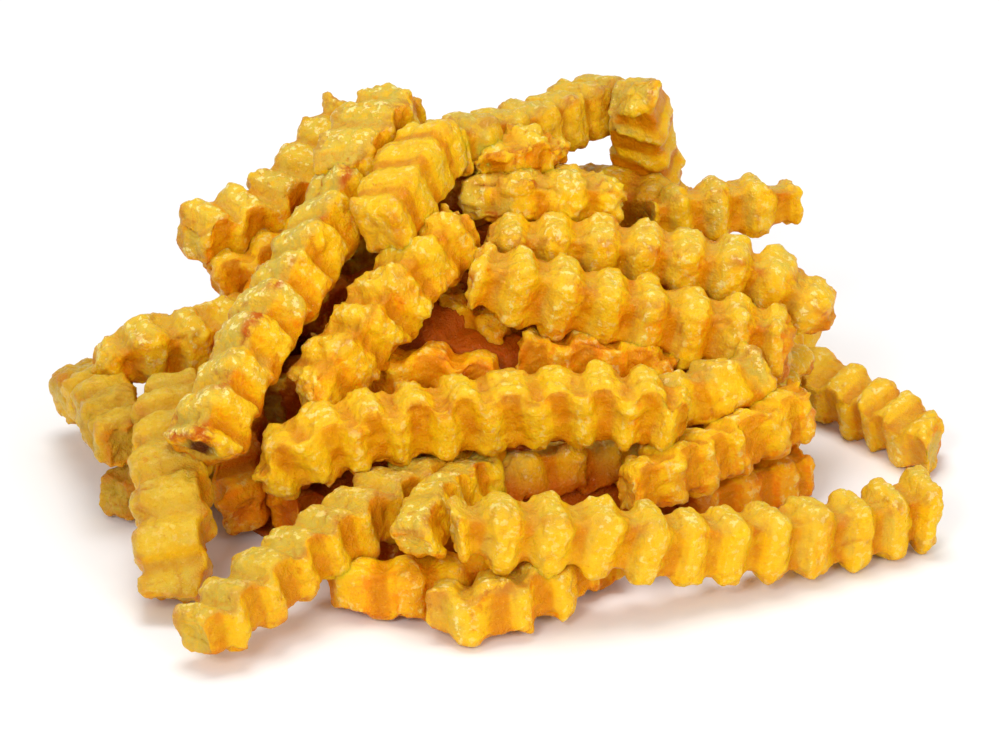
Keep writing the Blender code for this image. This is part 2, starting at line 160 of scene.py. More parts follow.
FRIES = [
    # The long fries in front and at the foot of the heap
    Fry("runner_left", (12.8, 12.0), 8, 8, (3.0, 8.8), True,
        [(-57, -83, 7), (-39, -62, 13), (-22, -42, 16), (-6, -24, 16)], (0.85, 1.0)),
    Fry("runner_right", (11.6, 13.4), -4, 0, (0.3, 9.2), False,
        [(-9, -64, 21), (19, -59, 17), (37, -53, 12), (66, -38, 8), (84, -27, 8)], (0.8, 1.0)),
    Fry("foot_front", (12.0, 12.0), 5, -6, (3.0, 8.8), True,
        [(-13, -67, 6), (-4, -68, 6), (7, -62, 7), (16, -55, 8)], (0.8, 0.75)),
    Fry("foot_inner", (11.4, 11.4), 0, 5, (5.0, 8.8), True,
        [(-32, -56, 6), (-20, -59, 6), (-6, -56, 6), (12, -49, 6), (23, -44, 6)], (0.8, 0.8)),
    Fry("stub_middle", (9.8, 10.8), 14, 6, (4.0, 8.8), False,
        [(-16, -65, 18), (-14, -57, 20), (-9, -42, 18), (0, -28, 16)]),
    Fry("middle_low", (10.6, 10.8), 20, 14, (4.0, 8.8), True,
        [(-8, -34, 15), (8, -28, 16), (20, -22, 15), (35, -15, 15)], (0.8, 0.9)),
    Fry("middle_long", (13.2, 14.2), -6, 6, (-1.3, 8.8), True,
        [(-46, -36, 17), (-38, -35, 24), (-27, -33, 27), (0, -30, 30), (23, -30, 31), (37, -29, 28)],
        (0.6, 0.8)),
    Fry("middle_end", (12.6, 12.2), 24, 10, (3.0, 8.8), True,
        [(24, -16, 23), (39, -16, 27), (51, -10, 30)]),
    Fry("right_upper", (11.8, 11.8), 12, 16, (4.0, 8.8), True,
        [(24, -41, 18), (32, -35, 19), (41, -26, 19), (60, -12, 23)], (0.8, 1.0)),
    Fry("right_under", (11.6, 11.6), 0, 6, (4.0, 8.8), True, [(36, -24, 7), (50, -15, 7), (61, -8, 8)]),
    Fry("right_tip", (12.2, 11.4), -16, 8, (-2.4, 8.8), True,
        [(55, 47, 8), (68, 33, 7), (80, 18, 6), (88, 5, 6)], (1.0, 0.9)),
    # The two long fries across the upper middle, and those in the gaps below them
    Fry("across_front", (13.0, 14.0), -4, 4, (1.1, 8.8), False,
        [(-6, -4, 48), (16, -4, 42), (36, -4, 37), (58, -3, 32)], (0.95, 0.9)),
    Fry("across_back", (12.0, 12.0), -8, 0, (5.4, 8.8), False,
        [(-3, 10, 48), (20, 10, 47), (40, 10, 44), (54, 10, 40), (66, 8, 32)], (0.9, 0.7)),
    Fry("gap_upper", (11.4, 11.4), 10, 8, (4.0, 8.8), True, [(-12, 6, 37), (-5, 2, 34), (1, -2, 30)]),
    Fry("gap_lower", (11.4, 11.8), 6, 6, (4.0, 8.8), True, [(4, -8, 31), (20, -9, 31), (33, -9, 28)]),
    Fry("gap_right", (11.4, 11.4), 0, 6, (4.0, 8.8), True, [(16, 6, 27), (38, 6, 27)]),
    Fry("gap_left", (11.8, 11.8), 8, -6, (4.0, 8.8), True,
        [(-26, -13, 29), (-14, -15, 31), (-1, -15, 28)]),
    # The top of the heap
    Fry("top_stick", (12.0, 12.0), 6, -2, (-1.5, 8.2), False,
        [(30, 39, 42), (43, 42, 43), (60, 46, 43)], (0.9, 0.75)),
    Fry("top_stander", (13.2, 12.8), 4, 12, (4.0, 8.8), True,
        [(33, 66, 32), (30, 55, 51), (28, 43, 69)], (1.0, 0.75)),
    Fry("top_broad", (13.4, 12.0), 4, 4, (4.0, 8.8), False,
        [(-9, 22, 55), (8, 21, 54), (25, 22, 53)], (0.7, 0.8)),
    Fry("top_scrap", (10.4, 9.8), -10, 8, (4.0, 8.8), True,
        [(-6, 22, 61), (3, 25, 62), (13, 30, 60)], (0.7, 0.7)),
    Fry("top_arch", (12.2, 12.0), 10, 13, (-1.0, 8.8), False,
        [(-11, 22, 64), (6, 40, 61), (24, 65, 59)]),
    Fry("left_top", (12.8, 12.4), -12, 8, (4.0, 8.8), True,
        [(-63, 24, 44), (-48, 31, 47), (-39, 41, 52), (-30, 50, 60)]),
    Fry("left_crown", (15.4, 13.6), -8, 6, (4.0, 8.8), True,
        [(-19, 40, 67), (-25, 30, 65), (-32, 15, 60)], (0.85, 0.9)),
    Fry("left_diagonal", (13.6, 12.8), -32, 10, (4.0, 8.8), True,
        [(-30, 19, 58), (-39, -3, 49), (-49, -22, 39), (-58, -41, 26)], (0.9, 1.15)),
    Fry("left_blunt", (14.0, 13.6), -14, 6, (4.0, 8.8), False,
        [(-11, 24, 66), (-17, 13, 63), (-24, -4, 57)], (0.9, 0.9)),
    Fry("left_broad", (14.6, 13.4), -16, 10, (-2.0, 8.8), True,
        [(-7, 8, 54), (-19, -6, 47), (-29, -17, 38), (-38, -26, 30)], (0.9, 0.75)),
    Fry("top_inner", (12.0, 11.8), 6, 6, (4.0, 8.8), True,
        [(-38, 34, 47), (-20, 34, 51), (-2, 32, 52)]),
    # The left side, from the outer edge inwards
    Fry("outer_left", (12.8, 12.2), 10, 4, (4.0, 8.8), True,
        [(-74, -21, 19), (-80, 4, 17), (-87, 28, 9)], (0.9, 0.9)),
    Fry("outer_foot", (11.0, 11.0), 0, 6, (4.0, 8.8), True, [(-76, -17, 6), (-62, -6, 6), (-50, 2, 6)]),
    Fry("left_foot", (15.0, 13.4), 8, 8, (1.5, 9.2), True,
        [(-62, -58, 3), (-63, -47, 14), (-64, -27, 21), (-64, -7, 24)], (0.9, 0.8)),
    Fry("left_shoulder", (12.0, 11.6), -10, 10, (4.0, 8.8), True,
        [(-82, 8, 21), (-71, 8, 27), (-59, 10, 28), (-49, 14, 31)], (0.7, 1.0)),
    Fry("left_under", (11.6, 11.6), 0, 6, (4.0, 8.8), True,
        [(-58, 22, 35), (-47, 24, 39), (-36, 26, 44)]),
    Fry("inner_upright", (11.2, 11.2), 6, 6, (4.0, 8.8), True,
        [(-50, -28, 7), (-52, -17, 12), (-52, -6, 17)]),
    Fry("inner_low", (11.0, 11.0), 0, 6, (4.0, 8.8), True,
        [(-43, -27, 6), (-30, -18, 6), (-18, -12, 6)]),
    Fry("inner_mid", (11.0, 11.0), 0, 6, (4.0, 8.8), True,
        [(-44, -24, 15), (-31, -16, 17), (-18, -10, 18)]),
    Fry("inner_front", (11.0, 11.0), 0, 6, (4.0, 8.8), True,
        [(-31, -45, 6), (-14, -35, 6), (2, -28, 6)]),
    Fry("left_base", (11.6, 11.4), 4, 6, (4.0, 8.8), True, [(-68, 14, 6), (-46, 17, 6), (-22, 24, 6)]),
    Fry("left_second_outer", (11.8, 11.6), -6, 6, (4.0, 8.8), True,
        [(-60, 4, 17), (-53, 20, 17), (-42, 38, 16)]),
    Fry("left_second_inner", (11.6, 11.6), 8, 6, (4.0, 8.8), False,
        [(-46, 0, 17), (-37, 14, 18), (-26, 28, 18)]),
    Fry("left_third", (12.0, 11.8), 0, 8, (4.0, 8.8), True,
        [(-54, 18, 26), (-40, 24, 29), (-22, 26, 30)]),
    Fry("left_slope", (11.8, 11.6), 6, 8, (4.0, 8.8), True,
        [(-57, -12, 17), (-51, 2, 27), (-44, 18, 37)]),
    # The far side, which finishes the heap as its near side is
    Fry("far_foot_left", (12.2, 12.0), 6, 6, (4.0, 8.8), True,
        [(-68, 28, 6), (-50, 48, 6), (-20, 62, 6)]),
    Fry("far_foot_middle", (12.4, 12.2), -8, 6, (4.0, 8.8), True,
        [(-40, 72, 6), (-4, 84, 6), (30, 80, 6)]),
    Fry("far_foot_inner", (12.0, 12.0), 4, 6, (4.0, 8.8), True,
        [(-16, 70, 6), (14, 68, 6), (46, 58, 6)]),
    Fry("far_foot_right", (12.4, 12.0), 6, 8, (4.0, 8.8), False,
        [(30, 44, 6), (44, 46, 6), (58, 52, 6)]),
    Fry("far_runner", (12.2, 12.2), 0, 6, (4.0, 8.8), False, [(60, 76, 6), (50, 62, 12), (38, 44, 18)]),
    Fry("far_slope_left", (12.2, 12.2), 10, 8, (4.0, 8.8), True,
        [(-64, 60, 7), (-48, 50, 16), (-32, 40, 26)]),
    Fry("far_low_middle", (12.2, 12.0), 8, 6, (4.0, 8.8), True,
        [(-38, 64, 16), (-6, 73, 17), (24, 70, 17)]),
    Fry("far_low_right", (12.0, 12.2), -6, 6, (4.0, 8.8), False,
        [(8, 58, 16), (34, 50, 17), (58, 34, 15)]),
    Fry("far_mid_left", (12.4, 12.2), -6, 8, (4.0, 8.8), True,
        [(-54, 34, 24), (-28, 50, 27), (0, 60, 28)]),
    Fry("far_mid_right", (12.2, 12.2), 6, 6, (4.0, 8.8), True,
        [(4, 62, 29), (28, 54, 29), (54, 34, 26)]),
    Fry("far_upper_left", (12.4, 12.0), 0, 8, (4.0, 8.8), True,
        [(-48, 40, 36), (-24, 50, 39), (4, 56, 40)]),
    Fry("far_upper_right", (12.4, 12.2), 10, 6, (4.0, 8.8), True,
        [(-2, 56, 42), (20, 56, 40), (44, 48, 36)]),
    Fry("far_top_left", (12.0, 12.0), -8, 6, (4.0, 8.8), False,
        [(-38, 48, 50), (-18, 48, 53), (2, 46, 52)]),
    Fry("far_top_right", (12.0, 12.0), -8, 6, (4.0, 8.8), False,
        [(10, 50, 42), (24, 50, 42), (38, 44, 40)]),
    Fry("far_leaner", (12.2, 12.0), 10, 6, (4.0, 8.8), True,
        [(17, 83, 17), (14, 76, 27), (11, 68, 38)]),
    Fry("right_inner", (11.8, 11.8), 4, 6, (4.0, 8.8), True, [(58, 0, 16), (46, 10, 17), (30, 16, 18)]),
    Fry("right_inner_low", (11.6, 11.6), 0, 6, (4.0, 8.8), True, [(60, 9, 6), (46, 4, 6), (28, -4, 6)]),
    Fry("right_behind", (11.8, 11.6), -6, 6, (4.0, 8.8), False,
        [(60, 12, 17), (50, 18, 26), (36, 22, 35)]),
    Fry("far_right_side", (12.4, 12.2), 6, 8, (4.0, 8.8), True,
        [(62, 62, 6), (54, 50, 14), (46, 38, 24)]),
]

# How each fry is finished where it differs from the common fry: how rough its skin is; how orange, how
# pale and how brown at its edges it is; how deep its waves are, as a share of the part's; how wide its
# crests are against its creases (0 is alike); how long its two tips are; how askew its two cuts are, as a
# slope across it; whether its sides bulge where its top does (1) or take turns from fry to fry (0); and how
# dull and brown its whole skin is.
Finish = namedtuple(
    "Finish",
    "rough orange pale brown depth crests tips cuts sides dull",
    defaults=(1.0, 0.0, 0.4, 0.4, 1.0, 0.3, (TIP, TIP), (0.0, 0.0), 0, 0.0),
)

# On the fries that lie low, in the gaps and deep inside, the high orange is painted shade, which runs into
# a red-brown
FINISHES = {
    "runner_left": Finish(pale=1.1, depth=1.1, crests=0.4, tips=(1.5, TIP), dull=0.2),
    "runner_right": Finish(orange=-0.3, pale=0.6, depth=1.3, crests=0.2, tips=(3.0, 1.5), dull=0.1),
    "foot_front": Finish(pale=0.6, depth=1.1),
    "foot_inner": Finish(orange=1.0, pale=0.0),
    "stub_middle": Finish(orange=-0.5, pale=1.0, depth=0.7),
    "middle_low": Finish(orange=-0.4, pale=1.2),
    "middle_long": Finish(orange=-0.2, pale=0.3, rough=1.4, depth=1.1, crests=0.2, tips=(4.0, 5.0)),
    "middle_end": Finish(orange=-0.1, pale=1.0, rough=1.3, depth=0.8),
    "right_upper": Finish(orange=0.6, pale=0.2, rough=1.3),
    "right_under": Finish(orange=1.5, pale=0.0),
    "right_tip": Finish(orange=0.1, depth=1.1, crests=0.1, cuts=(0.0, 0.6)),
    "across_front": Finish(orange=0.3, pale=0.5, rough=1.3, depth=1.3, crests=0.1, tips=(7.0, TIP)),
    "across_back": Finish(orange=0.1, pale=0.6, depth=1.4, crests=0.5, tips=(TIP, 3.0), sides=1),
    "gap_upper": Finish(orange=1.3, pale=0.0, rough=1.8, crests=0.5),
    "gap_lower": Finish(orange=1.5, pale=0.1, rough=2.2),
    "gap_right": Finish(orange=2.4, pale=0.0),
    "gap_left": Finish(orange=1.6, pale=0.0, rough=1.4),
    "top_stick": Finish(orange=-0.4, pale=0.8, depth=1.3, crests=-0.1, sides=1),
    # top_stander is painted paler and less orange, partly as painted light on its leaning side, which lies
    # in shade
    "top_stander": Finish(
        orange=-0.9, pale=1.2, depth=0.8, crests=0.7, tips=(TIP, 6.0), cuts=(0.0, -0.7), sides=1
    ),
    "top_broad": Finish(orange=-0.1, pale=0.8, rough=3.0, brown=0.7, depth=0.45, tips=(8.0, 6.0)),
    "top_scrap": Finish(orange=0.1, pale=0.5, rough=2.8, brown=0.7, depth=0.7, tips=(5.0, 5.0)),
    "top_arch": Finish(orange=-0.5, pale=1.0, crests=0.7, tips=(TIP, 4.0), dull=0.2),
    "left_top": Finish(orange=0.5, pale=0.8, rough=1.1, crests=0.6, tips=(4.0, TIP), cuts=(0.6, 0.0)),
    "left_crown": Finish(orange=-0.2, pale=1.0, depth=0.5, rough=1.5, tips=(5.0, 6.0)),
    "left_diagonal": Finish(orange=0.3, pale=1.2, brown=0.7, depth=1.4, crests=0.5, tips=(TIP, 3.0)),
    "left_blunt": Finish(orange=-0.5, pale=0.2, depth=0.5, rough=0.9, tips=(3.0, 3.0)),
    "left_broad": Finish(orange=0.2, pale=0.3, rough=2.0, depth=1.2, tips=(4.0, TIP)),
    "outer_left": Finish(pale=0.8, rough=1.6, depth=0.8, crests=0.5, tips=(TIP, 3.0), dull=0.75),
    "outer_foot": Finish(pale=0.8, rough=1.6, dull=0.85),
    "left_foot": Finish(orange=0.1, pale=0.8, depth=1.1, crests=0.5, dull=0.4),
    "left_shoulder": Finish(orange=0.2, pale=0.7, rough=1.3, depth=1.2, tips=(5.0, TIP)),
    "left_under": Finish(orange=0.7, pale=0.2),
    "left_slope": Finish(orange=1.6, pale=0.0),
    "inner_upright": Finish(orange=1.8, pale=0.0),
    "inner_low": Finish(orange=2.6, pale=0.0),
    "inner_mid": Finish(orange=2.6, pale=0.0),
    "inner_front": Finish(orange=2.2, pale=0.0),
}


def mixed(share, low, high):
    """Goes from low to high as share goes from 0 to 1."""
    return low + (high - low) * share


def smoothed(value):
    """Rises smoothly from 0 at 0 to 1 at 1."""
    value = np.clip(value, 0.0, 1.0)
    return value * value * (3 - 2 * value)


def unit(vectors):
    """The vectors at length one."""
    return vectors / np.maximum(np.linalg.norm(vectors, axis=-1, keepdims=True), 1e-9)


def lattice_noise(points, size, seed):
    """Smooth noise from -1 to 1 whose lumps are about size apart."""
    table = np.random.default_rng(seed).uniform(-1, 1, (NOISE_CELLS,) * 3)
    place = points / size
    cell = np.floor(place).astype(int)
    share = place - cell
    share = share * share * (3 - 2 * share)
    total = np.zeros(points.shape[:-1])
    for corner in itertools.product((0, 1), repeat=3):
        index = (cell + corner) % NOISE_CELLS
        weight = np.prod(np.where(corner, share, 1 - share), axis=-1)
        total += weight * table[index[..., 0], index[..., 1], index[..., 2]]
    return total


def layered(points, *layers):
    """The sum of these layers of noise."""
    return sum(layer.height * lattice_noise(points, layer.size, layer.seed) for layer in layers)


def smooth_route(points):
    """Samples a smooth curve through the points, as the part does."""
    knots = np.array(points, float)
    knots = np.vstack([2 * knots[0] - knots[1], knots, 2 * knots[-1] - knots[-2]])
    t = np.linspace(0, 1, SPAN_STEPS, endpoint=False)[:, None]
    spans = [
        (2 * t**3 - 3 * t**2 + 1) * b
        + (t**3 - 2 * t**2 + t) * (c - a) / 2
        + (3 * t**2 - 2 * t**3) * c
        + (t**3 - t**2) * (d - b) / 2
        for a, b, c, d in zip(knots, knots[1:], knots[2:], knots[3:])
    ]
    return np.vstack([*spans, knots[-2]])


def distances_along(samples):
    """The distance along the route at each sample."""
    return np.concatenate([[0.0], np.cumsum(np.linalg.norm(np.diff(samples, axis=0), axis=1))])


def unit_outline(count):
    """Points round a square with round corners that reaches from -1 to 1, evenly spaced."""
    angle = np.linspace(0, 2 * np.pi, PROFILE_SAMPLES + 1)
    reach = np.abs(np.cos(angle)) ** SQUARENESS + np.abs(np.sin(angle)) ** SQUARENESS
    outline = np.stack([np.cos(angle), np.sin(angle)], axis=1) / reach[:, None] ** (1 / SQUARENESS)
    along = distances_along(outline)
    even = np.linspace(0, along[-1], count, endpoint=False)
    return np.stack([np.interp(even, along, outline[:, axis]) for axis in range(2)], axis=1)


def ridge_wave(turns, crests):
    """The height of the wave, from -1 to 1, with flat crests and creases and steep flanks between them."""
    top, bottom = (np.tanh(PANEL_SHARPNESS * (turn + crests)) for turn in (1, -1))
    wave = np.tanh(PANEL_SHARPNESS * (np.cos(2 * np.pi * turns) + crests))
    return 2 * (wave - bottom) / (top - bottom) - 1


def ring_places(length, step):
    """Distances along a fry for its rings, closer together at its rounded ends, and the caps' shares."""
    count = max(FEWEST_RINGS, round((length - 2 * FIRST_INNER) / step))
    inner = np.linspace(FIRST_INNER, length - FIRST_INNER, count)
    start = np.array(END_RINGS)
    places = np.concatenate([start, inner, length - start[::-1]])
    caps = np.array(CAP_SHARES)
    shares = np.concatenate([caps, np.ones(len(places)), caps[::-1]])
    places = np.concatenate([np.zeros(len(caps)), places, np.full(len(caps), length)])
    return places[:, None], shares[:, None]


def axes_along(samples, along, places, roll):
    """The middle of a fry at its rings, and its own forward, sideways and upward directions there."""
    def at(distances):
        return np.stack([np.interp(distances, along, samples[:, axis]) for axis in range(3)], axis=-1)

    direction = unit(at(places + DIRECTION_REACH) - at(places - DIRECTION_REACH))
    side = unit(np.cross(direction, (0, 0, 1)))
    up = np.cross(side, direction)
    turn = math.radians(roll)
    side, up = side * math.cos(turn) + up * math.sin(turn), up * math.cos(turn) - side * math.sin(turn)
    return at(places), direction, side, up


def tip_share(to_end, tip, taper):
    """How wide a fry is near an end with this taper, rounded off over the length of its tip."""
    tapered = mixed(1 - smoothed(to_end / TAPER_REACH), 1.0, taper)
    rounding = np.sqrt(1 - (1 - np.clip(to_end / tip, 0, 1)) ** 2)
    return tapered * mixed(rounding, TIP_SCALE * math.sqrt(TIP / max(tip, TIP)), 1.0)


def fry_heights():
    """How high the middle of each fry is over the cells of a square, and 0 where it doesn't pass."""
    cells = np.arange(-SHADE_HALF, SHADE_HALF, SHADE_CELL)
    x, y = np.meshgrid(cells, cells, indexing="ij")
    heights = []
    for fry in FRIES:
        route = smooth_route(fry.route)
        away = np.hypot(x[..., None] - route[:, 0], y[..., None] - route[:, 1])
        heights.append(np.max(np.where(away < SHADE_REACH, route[:, 2], 0.0), axis=-1))
    return np.array(heights)


FRY_HEIGHTS = fry_heights()


def shade_under(points, index):
    """How much painted shade a point gets: from 0 in the open, as all round the outside, to 1 deep under
    the other fries.
    """
    highest = np.delete(FRY_HEIGHTS, index, axis=0).max(axis=0)
    cell = np.round((points[..., :2] + SHADE_HALF) / SHADE_CELL).astype(int)
    cell = np.clip(cell, 0, len(highest) - 1)
    below = highest[cell[..., 0], cell[..., 1]] - points[..., 2]
    outwards = np.hypot(points[..., 0], points[..., 1])
    open_air = smoothed((outwards - SHADE_INNER) / (SHADE_OUTER - SHADE_INNER))
    return smoothed((below - SHADE_FROM) / SHADE_OVER) * (1 - open_air)


def nearness_to_corner(u, v):
    """From 0 in the middle of a face to 1 on a corner of the section."""
    return np.minimum(np.abs(u), np.abs(v))


def ridge_waves(fry, finish, index, s, u, v):
    """A fry's wave, from -1 in its creases to 1 on its crests, and the wave's height in millimetres."""
    first_crest, pitch = fry.ridges
    row = np.concatenate([s, np.full_like(s, index * RIDGE_SHIFT), np.zeros_like(s)], axis=1)[:, None]
    across = np.stack([np.zeros_like(u), u, v], axis=-1) * BEND_ACROSS
    turns = (s - first_crest) / pitch + layered(row, RIDGE_PLACES) + layered(row + across, RIDGE_BENDS)
    height = RIDGE_DEPTH / 2 * finish.depth * (1 + layered(row, RIDGE_DEPTHS))
    return ridge_wave(turns, finish.crests), height * (1 - CORNER_LOSS * nearness_to_corner(u, v) ** 3)


def paired_waves(wave, place, together):
    """The waves of two opposite sides, which bulge together or else both move to the same side."""
    return wave * mixed(smoothed(place / SIDES_BLEND + 0.5), -1.0 if together else 1.0, 1.0)


def cut_slides(finish, index, x, z, first_half):
    """How far each point of a fry's cuts lies along the fry from a straight cut."""
    slopes = np.random.default_rng(CUT_SEED + index).uniform(-CUT_SLOPE, CUT_SLOPE, (2, 2))
    slopes[:, 0] += finish.cuts
    slope = slopes[np.where(first_half, 0, 1)]
    return slope[..., 0] * x + slope[..., 1] * z


def ragged_strips(u, v, shares, to_end):
    """From 0 on the faces of a fry to 1 along its edges and round its cuts."""
    edges = smoothed((nearness_to_corner(u, v) - EDGE_FROM) / EDGE_OVER) * shares
    return np.maximum(edges, smoothed((shares - RIM_FROM) / RIM_OVER) * (to_end < TIP / 2))


def outward_normals(grid, middle):
    """The direction in which the surface faces at each point of a fry."""
    across_grid = np.roll(grid, -1, axis=1) - np.roll(grid, 1, axis=1)
    normal = unit(np.cross(across_grid, np.gradient(grid, axis=0)))
    return normal * np.sign(np.median(np.sum(normal * (grid - middle), axis=-1)))


def make_fry(fry, index, finish, step, around):
    """The points of one fry, as a grid of rings, with the marks that its colours need."""
    samples = smooth_route(fry.route)
    along = distances_along(samples)
    length = along[-1]
    s, shares = ring_places(length, step)
    middle, direction, side, up = axes_along(samples, along, s, fry.roll)
    to_end = np.minimum(s, length - s)
    first_half = s < length / 2

    # The section is a rounded square, which turns into a circle towards the middle of each cut
    square = unit_outline(around)
    circle = square / np.linalg.norm(square, axis=1, keepdims=True)
    u, v = square.T
    across, rise = (shares[..., None] * mixed(shares[..., None], circle, square)).transpose(2, 0, 1)
    narrow = np.where(
        first_half,
        tip_share(s, finish.tips[0], fry.ends[0]),
        tip_share(length - s, finish.tips[1], fry.ends[1]),
    )
    dish = FACE_DISH * (1 - nearness_to_corner(u, v) ** 2)
    half_width, half_height = (extent / 2 - RIDGE_DEPTH / 2 + SKIN for extent in fry.size)

    # The waves go round the fry on all four sides
    crest, height = ridge_waves(fry, finish, index, s, u, v)
    side_sign = finish.sides or (1 if index % 2 else -1)
    side_wave = paired_waves(side_sign * crest * height, u, not fry.ribbon)
    top_wave = paired_waves(crest * height, v, not fry.ribbon)
    x = across * (half_width * narrow - dish * np.abs(u) ** 4 + side_wave * np.sign(u))
    z = rise * (half_height * narrow - dish * np.abs(v) ** 4 + top_wave * np.sign(v))

    # The ridges lean along the fry, and each end is cut askew and a little hollow
    near_cut = 1 - smoothed(to_end / CUT_REACH)
    lean = math.tan(math.radians(fry.slant)) * (1 - near_cut)
    hollow = CAP_DISH * (1 - shares**2) * np.where(first_half, 1.0, -1.0)
    slide = lean * x + cut_slides(finish, index, x, z, first_half) * near_cut + hollow
    grid = middle + side * x[..., None] + up * z[..., None] + direction * slide[..., None]

    # The skin stands out or lies back along the surface's own normal
    normal = outward_normals(grid, middle)
    shifted = grid + index * SKIN_SHIFT
    edge = ragged_strips(u, v, shares, to_end)
    ragged = edge * (layered(shifted, *RAGGED) - RAGGED_SUNK)
    flakes = FLAKE_HEIGHT * np.maximum(layered(shifted, FLAKES), 0) ** 2
    wrinkles = 1 - smoothed(np.abs(layered(shifted, WRINKLES)) / WRINKLE_WIDTH)
    skin = layered(shifted, *LUMPS) + finish.rough * (layered(shifted, *BLISTERS) + flakes + ragged)
    skin = skin - WRINKLE_DEPTH * wrinkles
    burnt = 1 - smoothed(np.linalg.norm(grid - BURN_PLACE, axis=-1) / BURN_REACH)
    move = skin + burnt * layered(shifted, BURNT_LUMPS)
    grid = grid + normal * move[..., None]

    # The marks: orange in patches, and as painted shade on the sides turned from the lamps; straw where the
    # fry's cut faces look up, as a painted sheen, and on its cut ends; red-brown painted shade deep under
    # other fries; brown at edges and in wrinkles
    opposite = -1 if fry.ribbon else 1
    side_ridge = side_sign * crest * np.where(u > 0, 1, opposite)
    top_ridge = crest * np.where(v > 0, 1, opposite)
    ridge = np.where(np.abs(u) > np.abs(v), side_ridge, top_ridge) * shares
    patches = layered(shifted, PATCHES)
    blotches = layered(shifted, BLOTCHES)
    # Painted shade: the surface deep under other fries is marked to turn red-brown
    shade = shade_under(grid, index)
    orange = ORANGE_BASE + 0.5 * finish.orange + 0.2 * patches + 0.15 * blotches
    # Painted shade: the sides turned from the lamps are painted more orange
    orange = orange - 0.5 * (normal @ LIT_SIDE) - 0.4 * skin
    # Painted sheen: a straw veil on the faces that look up and to the left
    looks_up = smoothed((normal @ UPPER_SIDE + 0.35 * patches - STRAW_FROM) / STRAW_OVER)
    straw_sheen = finish.pale * looks_up * (0.8 + 0.4 * blotches)
    cut_face = min(PALEST_CUT, 2 * finish.pale) * smoothed((1 - shares) / CUT_PALE_OVER)
    brown = finish.brown * np.maximum(edge, wrinkles) * (0.6 + 1.4 * blotches)
    marks = {
        "ridge": (ridge + 1) / 2,
        "pale": np.clip(np.maximum(straw_sheen, cut_face) * (1 - shade), 0, 1),
        "brown": np.clip(brown, 0, 1),
        "orange": np.clip(orange, 0, MOST_ORANGE),
        "dull": np.clip(finish.dull * (1 + 0.5 * patches), 0, 1),
        "shade": shade,
        "burnt": np.clip(burnt * (2.0 + 1.5 * blotches), 0, 1),
    }
    return grid, marks


def triangles_of(rows, around):
    """The triangles of a grid of rings with a point at each end, as rows of three numbers."""
    ring, place = np.meshgrid(np.arange(rows - 1), np.arange(around), indexing="ij")
    after = (place + 1) % around
    a, b = ring * around + place, ring * around + after
    c, d = b + around, a + around
    halves = [np.stack(corners, -1).reshape(-1, 3) for corners in ((a, b, c), (a, c, d))]
    turn = np.arange(around)
    following = (turn + 1) % around
    last = (rows - 1) * around
    first_pole, last_pole = rows * around, rows * around + 1
    first_fan = np.stack([np.full(around, first_pole), following, turn], -1)
    last_fan = np.stack([np.full(around, last_pole), last + turn, last + following], -1)
    return np.concatenate([*halves, first_fan, last_fan])


def with_poles(values):
    """A grid's values in one column, with the mean of the first and the last ring at its end."""
    flat = values.reshape(-1, *values.shape[2:])
    return np.concatenate([flat, values[:1].mean(axis=1), values[-1:].mean(axis=1)])


def closed_shape(grid, marks):
    """A grid of rings as a closed shape: its points, its triangles and its points' marks."""
    rows, around = grid.shape[:2]
    marks = {key: with_poles(values) for key, values in marks.items()}
    return with_poles(grid), triangles_of(rows, around), marks


def signed_volume(points, triangles):
    """Six times the volume inside, which is negative where the triangles face inwards."""
    a, b, c = (points[triangles[:, k]] for k in range(3))
    return np.sum(a * np.cross(b, c))


def mesh_piece(name, parts, material):
    """One object from several closed shapes, each with its points, triangles and marks."""
    points, triangles, marks = [], [], {}
    count = 0
    for shape, faces, shape_marks in parts:
        if signed_volume(shape, faces) < 0:
            faces = faces[:, ::-1]
        points.append(shape)
        triangles.append(faces + count)
        count += len(shape)
        for key, values in shape_marks.items():
            marks.setdefault(key, []).append(values)
    points = (np.concatenate(points) - (*HEAP_MIDDLE, 0.0)) * MM
    points[:, 2] = np.maximum(points[:, 2], 0.0)
    mesh = bpy.data.meshes.new(name)
    mesh.from_pydata(points.tolist(), [], np.concatenate(triangles).tolist())
    for key, values in marks.items():
        attribute = mesh.attributes.new(key, "FLOAT", "POINT")
        attribute.data.foreach_set("value", np.concatenate(values).astype(np.float32))
    mesh.shade_smooth()
    mesh.materials.append(material)
    piece = bpy.data.objects.new(name, mesh)
    bpy.context.scene.collection.objects.link(piece)
    return piece


# The core under the fries, which shows only as darker lumps in the gaps between them: its rings and
# sectors, its middle, half its size and its height, how far it lies below the fries over it and below a
# plain cone, how near those fries pass, how thick it is at its rim, and the marks for its colours, which
# paint it all as deep shade: most orange, fully shaded, brown and a little darkened towards char
CORE_RINGS = 60
CORE_SECTORS = 160
CORE_CENTRE = (-2.0, 10.0)
CORE_HALF_SIZE = (57.0, 55.0)
CORE_HEIGHT = 66.0
CORE_DEPTH = 13.0
CORE_SUNK = 4.0
CORE_REACH = 6.0
CORE_THINNEST = 1.0
CORE_SHADE_MARKS = {
    "ridge": 0.2,
    "pale": 0.0,
    "brown": 0.6,
    "orange": MOST_ORANGE,
    "dull": 0.0,
    "shade": 1.0,
    "burnt": 0.2,
}


